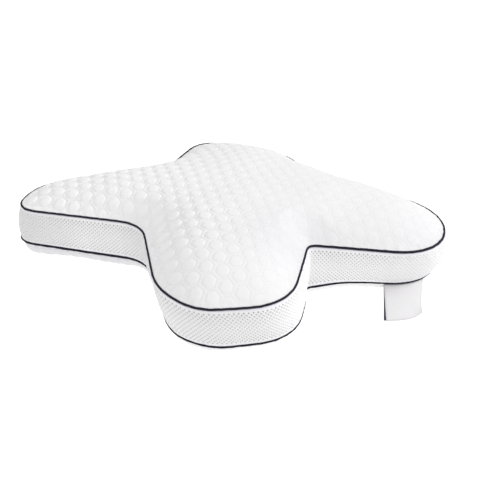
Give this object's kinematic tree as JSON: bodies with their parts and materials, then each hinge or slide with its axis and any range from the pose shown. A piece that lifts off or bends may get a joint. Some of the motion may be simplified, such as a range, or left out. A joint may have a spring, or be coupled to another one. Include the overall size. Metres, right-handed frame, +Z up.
{
  "type": "cervical pillow",
  "caption": "Lobed neck pillow: filled cushion with a crowned honeycomb knit top, a swelling mesh side band, dark piping along both seams and a bare sewn-in label.",
  "frame": {"origin": "centre of the pillow's box, on the surface that it rests on", "axes": "+X along the two wings to the right wing, +Y towards the rear lobe, +Z up"},
  "size_m": [0.6179, 0.4856, 0.1225],
  "materials": {
    "knit": "white blistered knit, matt",
    "mesh": "white open spacer mesh, matt",
    "piping": "dark navy woven bias tape, matt",
    "label": "white satin ribbon, soft sheen"
  },
  "bodies": {
    "root": {"cushion": "knit", "side_band": "mesh", "piping_top": "piping", "piping_bottom": "piping", "label": "label"}
  },
  "joints": []
}
